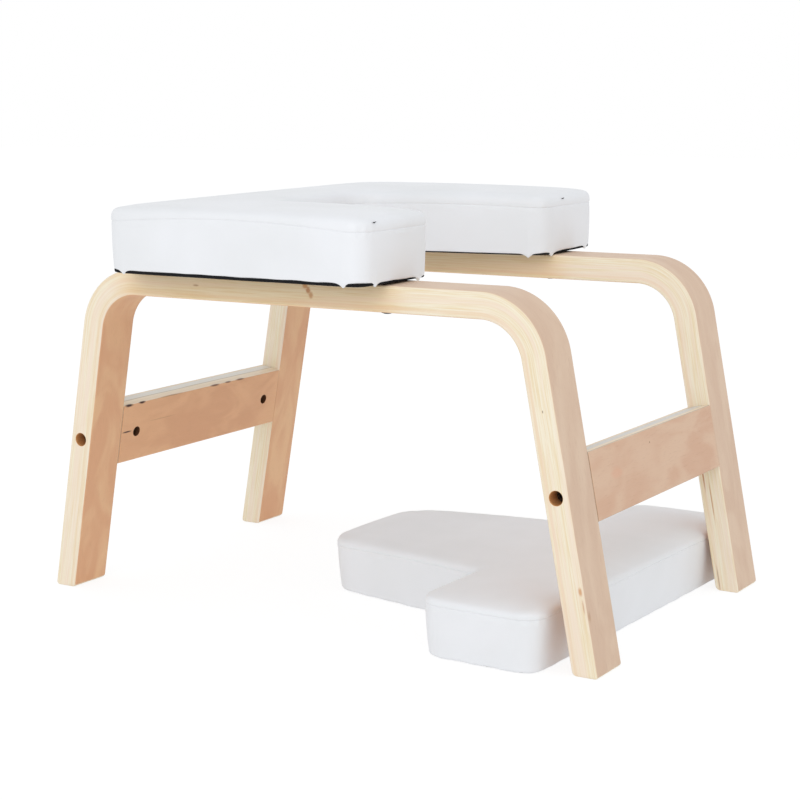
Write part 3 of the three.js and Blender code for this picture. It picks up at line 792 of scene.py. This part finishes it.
# The band's wall up to the seam, and the top panel from the seam in, as how far each row lies
# inside the pad's outline and how high.
wall_rows = [(2.65, 6.5), (2.4, 10), (2.2, 14), (2.05, 19), (1.9, 24), (1.8, 29), (1.8, 34)]
wall_rows += [(1.8, 38.5), (1.8, 41.6), (1.8, 44), (1.85, 45.7), (1.9, 46.9), (1.9, 47.9)]
wall_rows += [(1.95, 48.8), (2.05, 49.5)]
seam_row = (2.75, seam_height)
panel_rows = [(2.1, 50.5), (1.95, 51.3), (1.9, 52.7), (2.0, 54.7), (2.5, 56.9), (3.4, 58.9)]
panel_rows += [(4.8, 60.6), (6.9, 61.9), (9.6, 62.8), (13.0, 63.4), (16.3, 63.75)]


def crown_height(inset):
    """The top panel's height, so that it meets its last sewn-in row and levels off inside."""
    last_inset, last_height = panel_rows[-1]
    share = np.clip((inset - last_inset) / (crown_reach - last_inset), 0, 1)
    return last_height + (seam_height + crown_rise - last_height) * (1 - (1 - share) ** 2)


def smoothed(values, edges, weights, rounds):
    """Values eased towards the mean of their neighbours, as far as each one's weight lets them."""
    count = np.zeros(len(values))
    np.add.at(count, edges[:, 0], 1)
    np.add.at(count, edges[:, 1], 1)
    for _ in range(rounds):
        total = np.zeros_like(values)
        np.add.at(total, edges[:, 0], values[edges[:, 1]])
        np.add.at(total, edges[:, 1], values[edges[:, 0]])
        mean = total / count[:, None]
        values = values + weights[:, None] * (mean - values) * 0.6
    return values


def ripple(places, length, spacing, seed):
    """A closed, seeded waviness along an outline, about 1 at its crests, for gathers and folds."""
    dice = np.random.default_rng(seed)
    wave = np.zeros(len(places))
    for _ in range(7):
        turns = max(round(length / spacing * dice.uniform(0.55, 1.5)), 1)
        phase = dice.uniform(0, 2 * math.pi)
        wave += dice.uniform(0.4, 1) * np.sin(2 * math.pi * turns * places / length + phase)
    return wave / 2.2


def stuff(piece, held):
    """Lets the foam press the cover out: cloth under pressure, held where it is sewn and stapled.

    The movement is limited to stuffed_most, in metres, and eased, then taken into the mesh.
    """
    rest = np.array([v.co for v in piece.data.vertices])
    group = piece.vertex_groups.new(name="held")
    for share in np.unique(held):
        group.add(np.flatnonzero(held == share).tolist(), float(share), "REPLACE")
    stuffing = piece.modifiers.new("stuffing", "CLOTH")
    coated_cloth = {
        "quality": 4,
        "mass": 0.4,
        "tension_stiffness": 30,
        "compression_stiffness": 20,
        "shear_stiffness": 12,
        "bending_stiffness": 4,
        "use_pressure": True,
        "uniform_pressure_force": 4,
        "vertex_group_mass": "held",
        "pin_stiffness": 1,
    }
    for setting, value in coated_cloth.items():
        setattr(stuffing.settings, setting, value)
    stuffing.settings.effector_weights.gravity = 0
    stuffing.point_cache.frame_start = 1
    stuffing.point_cache.frame_end = stuffing_steps
    for step in range(1, stuffing_steps + 1):
        bpy.context.scene.frame_set(step)
    blown = piece.evaluated_get(bpy.context.evaluated_depsgraph_get())
    moved = np.array([v.co for v in blown.data.vertices]) - rest
    piece.modifiers.remove(stuffing)
    piece.vertex_groups.clear()
    bpy.context.scene.frame_set(1)
    size = np.linalg.norm(moved, axis=1)
    moved *= (stuffed_most * np.tanh(size / stuffed_most) / np.maximum(size, 1e-9))[:, None]
    edges = np.array([e.vertices[:] for e in piece.data.edges])
    moved = smoothed(moved, edges, 1 - held, 3)
    piece.data.vertices.foreach_set("co", (rest + moved).astype(np.float32).ravel())
    piece.data.update()
    print(piece.name, "stuffed by up to", round(float(size.max()) * 1000, 1), "mm")


def pad_cover(name, corners, place, turn, pleats, tuft, foot, sag, seam_bow, softness, seed):
    """One sewn cover in its place.

    Pleats are the corners where the band is folded under, with how many points beyond the round
    each fold lies, and tuft is how far a fold hangs down. Foot is the radius at which the band
    turns under, and its height over the board's floor at the inner and the outer edges. Sag is
    from and to which x, and how far, the seam and the crown lie low. Seam bow is how far the
    seam rises along the outer edges and along the slot's. Softness is how far the wall leans out
    at the seam, and by what share the crown's edge is flatter.
    """
    outline, bows, at_corner = pad_ring(corners, 0)
    places, length = way_round(outline)
    count = len(outline)
    folds = []
    for corner, (before, after) in pleats.items():
        arc = [i for i, (c, _) in enumerate(at_corner) if c == corner]
        folds.append([i % count for i in range(arc[0] - before, arc[-1] + after + 1)])

    def near_fold(width):
        """1 at each pleat and less away from it."""
        nearest = np.full(count, 1e9)
        for ends in folds:
            for fold in (places[ends[0]], places[ends[-1]]):
                gap = np.abs(places - fold)
                nearest = np.minimum(nearest, np.minimum(gap, length - gap))
        return np.exp(-nearest / width)

    facets = np.zeros(count)
    flattened = outline.copy()
    for ends in folds:
        first, last = outline[ends[0]], outline[ends[-1]]
        for step, i in enumerate(ends):
            share = step / (len(ends) - 1)
            flattened[i] = first + (last - first) * share
            facets[i] = math.sin(math.pi * share)
    inward_flat = flattened - outline

    # Each row is how far it lies inside the outline, and how high: two under the board, the
    # turned foot, the wall, the seam and the top panel's edge.
    foot_radius, inner_lift, outer_lift = foot
    rows = [(foot_inset + return_width, 0), (foot_inset + foot_radius + 3, 0)]
    under_levels = [0.95, 1.3] if outer_lift else [0.35, 0.1]
    under_rows = len(rows)
    for degrees in (0, 20, 40, 60, 80):
        angle = math.radians(degrees)
        inset = foot_inset + foot_radius * (1 - math.sin(angle))
        rows.append((inset, foot_radius * (1 - math.cos(angle))))
    rows += wall_rows + [seam_row] + panel_rows

    def lifted(points, height):
        """The height of a row whose foot lies over the board's floor."""
        lift = inner_lift + (outer_lift - inner_lift) * outer_share(points)
        return height + lift * max(1 - height / seam_height, 0)

    def crowned(height, inset):
        """A height of the top panel, with the crown's edge flattened by its softness."""
        flatter = softness[1] * (1 - np.clip(inset / soft_edge_reach, 0, 1))
        return seam_height + (height - seam_height) * (1 - flatter)

    def sunk(points, level):
        """How much lower the seam and the crown lie at these points."""
        from_x, to_x, seam_sag, crown_sag = sag
        share = np.clip((points[:, 0] - from_x) / (to_x - from_x), 0, 1)
        at_seam = seam_sag[0] + (seam_sag[1] - seam_sag[0]) * share**2
        at_crown = crown_sag[0] + (crown_sag[1] - crown_sag[0]) * share**4
        over = np.clip((level - seam_height) / (crown_rise - 2), 0, 1)
        under = np.clip(level / seam_height, 0, 1)
        return under * (at_seam + (at_crown - at_seam) * over)

    rings = []
    in_slot = (np.abs(outline[:, 1]) < slot_half + 1) & (outline[:, 0] > slot_from_x)
    bowed_up = bows * np.where(in_slot, seam_bow[1], seam_bow[0])
    slack = ripple(places, length, slack_spacing, seed)
    for row, (inset, height) in enumerate(rows):
        leaned_out = softness[0] * min(height / lean_height, 1)
        points = pad_ring(corners, inset - leaned_out)[0]
        up_share = min(height / seam_height, 1) - max(height - seam_height, 0) / crown_rise
        points = points + inward_flat * fold_flatness * (height <= seam_height)
        level = lifted(points, height)
        if row < under_rows:
            level = np.full(count, under_levels[row])
        if height > seam_height:
            level = np.full(count, crowned(height, inset))
        z = level + bowed_up * max(up_share, 0) - sunk(points, level)
        if height < tuft_height and row >= under_rows:
            near_foot = (1 - height / tuft_height) ** 2
            z = z - tuft * near_foot * near_fold(tuft_width) + 0.1 * tuft * near_foot * facets
            z = z + slack_depth * near_foot * slack
        rings.append(np.column_stack([points, z]))
    vertices, faces = skin_of_rings(rings, closed_ends=False)
    edge_of_top = rings[-1][:, :2]
    lattice, top_faces = filled(edge_of_top, 5.5, 3.0)
    inset = panel_rows[-1][0] + distance_to(lattice, edge_of_top)
    heights = crowned(crown_height(inset), inset)
    heights -= sunk(lattice, heights)
    top_from, rim_from = len(vertices), (len(rings) - 1) * count
    vertices = add_middle(vertices, faces, rim_from, count, lattice, heights, top_faces)
    lattice, floor_faces = filled(rings[0][:, :2], 14, 8)
    floor_faces = [face[::-1] for face in floor_faces]
    floor_from = len(vertices)
    floor_level = np.full(len(lattice), under_levels[0])
    vertices = add_middle(vertices, faces, 0, count, lattice, floor_level, floor_faces)

    # The panel's mitred corners ease into one smooth crown.
    edges = {tuple(sorted(ends)) for face in faces for ends in zip(face, face[1:] + face[:1])}
    loose = np.zeros(len(vertices))
    held = np.zeros(len(vertices))
    for row, (inset, height) in enumerate(rows):
        span = slice(row * count, (row + 1) * count)
        if height > seam_height:
            loose[span] = min(max((inset - 4) / 9, 0), 1)
        held[span] = held_by_foam
        if height < 4:
            held[span] = 1.0
        elif abs(height - seam_height) < 1.6:
            held[span] = 0.95
    loose[top_from:floor_from] = 1
    held[top_from:floor_from] = held_by_foam
    held[floor_from:] = 1.0
    heights = smoothed(vertices[:, 2:], np.array(sorted(edges)), loose, 16)
    cover = make_piece(name, np.column_stack([vertices[:, :2], heights]), faces)
    stuff(cover, held)

    # Sewing gathers: short puckers that run out from the seam, deepest round the tight corners.
    mesh = cover.data
    co = np.array([v.co for v in mesh.vertices])
    normals = np.array([v.normal for v in mesh.vertices])
    gather = 0.5 + 1.6 * np.array([math.sin(math.pi * s) if c >= 0 else 0 for c, s in at_corner])
    fine = ripple(places, length, pucker_spacing, seed + 1) * gather
    long_folds = ripple(places, length, allowance_spacing, seed + 2)
    for row, (inset, height) in enumerate(rows):
        if row < under_rows:
            continue
        span = slice(row * count, (row + 1) * count)
        away = abs(height - seam_height)
        if away < pucker_reach:
            out = pucker_depth * fine * math.exp(-(((away - 2.2) / 2.6) ** 2))
            if height < seam_height:
                under_seam = math.exp(-(((away - 4.6) / 1.1) ** 2))
                out = out + allowance_depth * np.clip(long_folds, 0, 1) * under_seam
            co[span] += normals[span] * out[:, None] / 1000
        if height < crease_height:
            crease = near_fold(crease_width) * crease_depth * (1 - height / crease_height)
            co[span] += normals[span] * crease[:, None] / 1000
    mesh.vertices.foreach_set("co", co.astype(np.float32).ravel())
    mesh.transform(Matrix.Translation(Vector(place) / 1000) @ Matrix.Rotation(turn, 4, "Z"))
    mesh.shade_smooth()
    mesh.update()
    fine_skin = cover.modifiers.new("fine skin", "SUBSURF")
    fine_skin.levels = 1
    fine_skin.render_levels = 1
    return cover


# Coated fabric: a matt white skin with a soft, wide sheen and a shallow pressed leather grain.
# The grain's cells are about 1.3 mm, coarser than the real 0.7 mm so that they show at all. The
# weave under it shows as slubs 8 mm apart, and its white drifts over about 110 mm.
white_vinyl, tree, spot, surface = new_finish("white polyurethane leathercloth")
cells = {"Vector": spot, "Scale": 1000 / 1.3, "Randomness": 1.0}
cells = add_node(tree, "TexVoronoi", cells, feature="SMOOTH_F1")
drift = {"Vector": spot, "Scale": 9.0, "Detail": 3.0, "Roughness": 0.55}
drift = add_node(tree, "TexNoise", drift)
slubs = {"Vector": spot, "Scale": 130.0, "Detail": 4.0, "Roughness": 0.6}
slubs = add_node(tree, "TexNoise", slubs)
drift_share = add_node(tree, "MapRange", {0: drift, 1: 0.35, 2: 0.65})
tones = {0: drift_share, 6: linear("#ECEDF0"), 7: linear("#E7E8EA")}
colour = add_node(tree, "Mix", tones, data_type="RGBA")
gloss = add_node(tree, "MapRange", {0: slubs, 3: 0.40, 4: 0.52})
grain = add_node(tree, "Bump", {"Height": cells, "Strength": 0.10, "Distance": 0.0003})
drape = {"Height": slubs, "Strength": 0.10, "Distance": 0.0006, "Normal": grain}
drape = add_node(tree, "Bump", drape)
set_inputs(tree, surface, {"IOR": 1.48, "Sheen Weight": 0.05})
set_inputs(tree, surface, {"Base Color": colour, "Roughness": gloss, "Normal": drape})

# Shoulder pad
# A U of foam on a ply board, its neck slot opening to the stool's open end and narrowing inwards.
# It overhangs both rails, and its band is pleated under at each outer corner.
pad_open_x = 103.9
pad_closed_x = -195.1
slot_end_x = -100.1
shoulder_pad_z = 333.3
shoulder_lifts = (0.6, 3.0)
shoulder_corners = [
    (pad_open_x, -229, 21),
    (pad_open_x, -107.5, 21),
    (slot_end_x, -77, 32),
    (slot_end_x, 77, 32),
    (pad_open_x, 107.5, 21),
    (pad_open_x + 0.6, 229.6, 18),
    (pad_closed_x, 229, 21),
    (pad_closed_x, -229, 21),
]
shoulder_cover = pad_cover(
    "shoulder_pad_leathercloth",
    shoulder_corners,
    (0, 0, shoulder_pad_z + pad_lift),
    0,
    {0: (2, 4), 1: (4, 1), 4: (0, 5), 5: (3, 2), 6: (2, 2), 7: (2, 2)},
    4.0,
    (2, shoulder_lifts[0], shoulder_lifts[1]),
    (pad_closed_x, pad_open_x, (0, 1.9), (0, 1.9)),
    (5.5, 1.5),
    (0, 0),
    41,
)
shoulder_cover.data.materials.append(white_vinyl)
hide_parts("shoulder_pad_cover", "shoulder_pad_foam")
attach(shoulder_cover, "stool")

# Thread knots
# The black polyester thread of the top seam is tied off on the crown at the end of each arm,
# where a small knot and a short cut end lie on the cover.
knot_radius = 0.26
knot_size = 0.27
tail_length = 5
knot_lift = 0.9
thread_knots = [(102, -207, 391), (102, 151.5, 390)]


def thread_tube(name, line, radius, sides=8):
    """A closed round tube along points in millimetres."""
    line = np.array(line)
    ahead = np.gradient(line, axis=0)
    ahead /= np.linalg.norm(ahead, axis=1)[:, None]
    rings = []
    side_way = np.cross(ahead[0], (0, 0, 1.0))
    for place, way in zip(line, ahead):
        side_way = side_way - way * (side_way @ way)
        side_way /= np.linalg.norm(side_way)
        up_way = np.cross(side_way, way)
        turns = np.linspace(0, 2 * math.pi, sides, endpoint=False)[:, None]
        rings.append(place + radius * (np.cos(turns) * side_way + np.sin(turns) * up_way))
    return make_piece(name, *skin_of_rings(rings))


black_thread, tree, spot, surface = new_finish("black polyester thread")
twist = add_node(tree, "TexNoise", {"Vector": spot, "Scale": 2500.0, "Detail": 2.0})
tones = {0: twist, 6: linear("#0E0E10"), 7: linear("#2A2A2E")}
colour = add_node(tree, "Mix", tones, data_type="RGBA")
set_inputs(tree, surface, {"Base Color": colour, "Roughness": 0.6})

for number, knot_place in enumerate(thread_knots, 1):
    _, spot, away, _ = shoulder_cover.closest_point_on_mesh(Vector(knot_place) / 1000)
    spot = np.array(spot) * 1000
    # The thread goes once round a trefoil, short of closing it, and then lies on the cover.
    line = []
    for step in range(61):
        turn = 2 * math.pi * step / 64
        out = math.sin(turn) + 2 * math.sin(2 * turn)
        up = math.cos(turn) - 2 * math.cos(2 * turn)
        loop = np.array([out, up, -math.sin(3 * turn)])
        line.append(spot + np.array(away) * knot_lift + knot_size * loop)
    for step in range(1, 10):
        off = spot + np.array([0, tail_length * step / 9, 0.8 * step / 9])
        _, lying, up, _ = shoulder_cover.closest_point_on_mesh(Vector(off) / 1000)
        height = knot_radius + knot_lift * (1 - step / 9) ** 2
        line.append(np.array(lying) * 1000 + np.array(up) * height)
    knot = thread_tube(f"thread_knot_{number}", line, knot_radius)
    knot.data.shade_smooth()
    knot.data.materials.append(black_thread)
    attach(knot, "stool")

# Filler pad
# The T of foam that closes the neck slot, made like the shoulder pad and turned a little where
# it lies. Its bar is across the open end's legs, and its stem points under the stool.
filler_turn = math.radians(-1.8)
filler_inset = 18
filler_x = frame_length / 2 - run_at_floor - filler_inset
filler_y = 9.5
bar_x = -123
stem_end_x = -326
filler_corners = [
    (0, -216, 21),
    (0, 216, 21),
    (bar_x, 216, 21),
    (bar_x, 105.5, 12),
    (stem_end_x, 75, 38),
    (stem_end_x, -75, 38),
    (bar_x, -105.5, 12),
    (bar_x, -216, 21),
]
filler_cover = pad_cover(
    "filler_pad_leathercloth",
    filler_corners,
    (filler_x, filler_y, 0.6),
    filler_turn,
    {0: (2, 2), 1: (2, 2), 2: (2, 2), 7: (2, 2)},
    0.0,
    (2.5, 0, 0),
    (0, stem_end_x, (1.2, 4.0), (2.3, 4.8)),
    (1.5, 1.5),
    (2.2, 0.3),
    73,
)
filler_cover.data.materials.append(white_vinyl)
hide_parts("filler_pad_cover", "filler_pad_foam")
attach(filler_cover, "filler_pad")

# Dust covers
# Black spun-bonded cloth that hides the staples and the board under each pad. The shoulder
# pad's is pulled up over the board's lower edge, and shows as a black line under the band,
# partly the cloth and partly painted shade of the gap there. Its fibres clump over 1.4 mm,
# and its bonding dimples are 1.6 mm apart.
black_cloth, tree, spot, surface = new_finish("black spun-bonded cloth")
fibres = {"Vector": spot, "Scale": 700.0, "Detail": 5.0, "Distortion": 1.5}
fibres = add_node(tree, "TexNoise", fibres)
dimples = add_node(tree, "TexVoronoi", {"Vector": spot, "Scale": 1000 / 1.6})
tones = {0: fibres, 6: linear("#0B0B0D"), 7: linear("#1D1D20")}
colour = add_node(tree, "Mix", tones, data_type="RGBA")
bump = add_node(tree, "Bump", {"Height": dimples, "Strength": 0.5, "Distance": 0.0003})
set_inputs(tree, surface, {"Roughness": 0.92, "Specular IOR Level": 0.2})
set_inputs(tree, surface, {"Base Color": colour, "Normal": bump})
cloth_thickness = 0.0004


def dust_cloth(name, corners, place, turn, rows, level, lifts, seed):
    """One thin sheet under a pad, as rows of inset and share of its rise, from its stapled rim in.

    Lifts are how high the rim is pulled up at the inner and the outer edges.
    """
    outline = pad_ring(corners, rows[0][0])[0]
    places, length = way_round(outline)
    ragged = ripple(places, length, 85, seed)
    rise = lifts[0] + (lifts[1] - lifts[0]) * outer_share(outline)
    rise = rise * (1 + 0.08 * ragged)
    rings = []
    for inset, share in rows:
        rings.append(np.column_stack([pad_ring(corners, inset)[0], level + rise * share]))
    points, faces = skin_of_rings(rings, closed_ends=False)
    lattice, middle_faces = filled(rings[-1][:, :2], 9, 5)
    count = len(outline)
    levels = np.full(len(lattice), level)
    rim_from = (len(rows) - 1) * count
    points = add_middle(points, faces, rim_from, count, lattice, levels, middle_faces)
    sheet = make_piece(name, points, faces)
    put_down = Matrix.Translation(Vector(place) / 1000) @ Matrix.Rotation(turn, 4, "Z")
    sheet.data.transform(put_down)
    sheet.data.shade_smooth()
    sheet.data.materials.append(black_cloth)
    thick = sheet.modifiers.new("cloth thickness", "SOLIDIFY")
    thick.thickness = cloth_thickness
    thick.offset = 1 if sheet.data.polygons[-1].normal.z < 0 else -1
    size = outline.max(axis=0) - outline.min(axis=0)
    area = sum(face.area for face in sheet.data.polygons)
    return sheet, [float(s) / 1000 for s in size], area


# The rim is pulled up over the board's edge, just inside the band, and its black line there is
# partly painted shade of the gap under the band.
rim_over_foot = 0.9
shoulder_dust_rows = [(3.8, 1), (3.9, 0.7), (4.2, 0.4), (5.6, 0.29), (8.5, 0.14), (13, 0)]
shoulder_dust, cut_size, cut_area = dust_cloth(
    "shoulder_pad_dust_cloth",
    shoulder_corners,
    (0, 0, shoulder_pad_z),
    0,
    shoulder_dust_rows,
    0.8,
    [lift + rim_over_foot for lift in shoulder_lifts],
    91,
)
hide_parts("shoulder_pad_dust_cover")
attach(shoulder_dust, "stool")

filler_dust, cut_size, cut_area = dust_cloth(
    "filler_pad_dust_cloth",
    filler_corners,
    (filler_x, filler_y, 0),
    filler_turn,
    [(7, 0), (12, 0)],
    0.5,
    (0, 0),
    95,
)
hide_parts("filler_pad_dust_cover")
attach(filler_dust, "filler_pad")

# Photograph's studio
# A white seamless sweep under white walls, with a broad softbox in front of the stool and a weak
# one at its open end, so that the pads stay just under white and shadows are faint.
sweep_half = 9
sweep_z = -0.0002
sweep = [(-1, -1), (1, -1), (1, 1), (-1, 1)]
floor_mesh = bpy.data.meshes.new("studio_floor")
floor_mesh.from_pydata(
    [(x * sweep_half, y * sweep_half, sweep_z) for x, y in sweep], [], [(0, 1, 2, 3)]
)
studio_floor = bpy.data.objects.new("studio_floor", floor_mesh)
bpy.context.scene.collection.objects.link(studio_floor)
floor_paper = bpy.data.materials.new("white background paper")
floor_paper.use_nodes = True
tree = floor_paper.node_tree
tree.nodes.clear()
camera_ray = add_node(tree, "LightPath").outputs["Is Camera Ray"]
matt = add_node(tree, "BsdfDiffuse", {"Color": linear("#F4F4F4")})
glow = add_node(tree, "Emission", {"Color": (1, 1, 1, 1), "Strength": 1.1})
share = add_node(tree, "MapRange", {0: camera_ray, 3: 0.28, 4: 0.76})
paper = add_node(tree, "MixShader", {0: share, 1: matt, 2: glow})
add_node(tree, "OutputMaterial", {0: paper})
studio_floor.data.materials.append(floor_paper)

studio_world = bpy.data.worlds.new("white studio")
bpy.context.scene.world = studio_world
studio_world.use_nodes = True
tree = studio_world.node_tree
tree.nodes.clear()
rays = add_node(tree, "LightPath").outputs
seen = {0: rays["Is Camera Ray"], 1: rays["Is Glossy Ray"]}
seen = add_node(tree, "Math", seen, operation="MAXIMUM")
seen = {0: seen, 1: rays["Is Transmission Ray"]}
seen = add_node(tree, "Math", seen, operation="MAXIMUM")
fill = add_node(tree, "Background", {"Color": linear("#F2F4F6"), "Strength": 0.93})
white = add_node(tree, "Background", {"Color": (1, 1, 1, 1), "Strength": 1.0})
both = add_node(tree, "MixShader", {0: seen, 1: fill, 2: white})
add_node(tree, "OutputWorld", {0: both})

for name, place, size, power in (
    ("front softbox", (0.5, -2.7, 1.6), 1.8, 16.5), ("side softbox", (2.6, -0.3, 0.9), 1.6, 2.5)
):
    lamp = bpy.data.lights.new(name, "AREA")
    lamp.shape = "SQUARE"
    lamp.size = size
    lamp.energy = power
    softbox = bpy.data.objects.new(name, lamp)
    softbox.location = place
    way = Vector((0, 0, 0.25)) - Vector(place)
    softbox.rotation_mode = "QUATERNION"
    softbox.rotation_quaternion = way.to_track_quat("-Z", "Y")
    bpy.context.scene.collection.objects.link(softbox)

# Photograph's camera
# Placed by fitting the stool's known corners to the picture: a long lens a little above the pad.
camera_data = bpy.data.cameras.new("photograph camera")
camera_data.sensor_width = 36
camera_data.lens = 84.63
camera_data.clip_start = 0.05
camera_data.clip_end = 60
camera = bpy.data.objects.new("photograph camera", camera_data)
camera_round, camera_down, camera_roll = 32.24, 9.86, -0.57
camera_turn = Matrix.Rotation(math.radians(camera_round), 4, "Z")
camera_turn @= Matrix.Rotation(math.radians(90 - camera_down), 4, "X")
camera_turn @= Matrix.Rotation(math.radians(camera_roll), 4, "Z")
camera.matrix_world = Matrix.Translation((1.0029, -1.5956, 0.5201)) @ camera_turn
bpy.context.scene.collection.objects.link(camera)
bpy.context.scene.camera = camera
bpy.context.scene.view_settings.view_transform = "Standard"
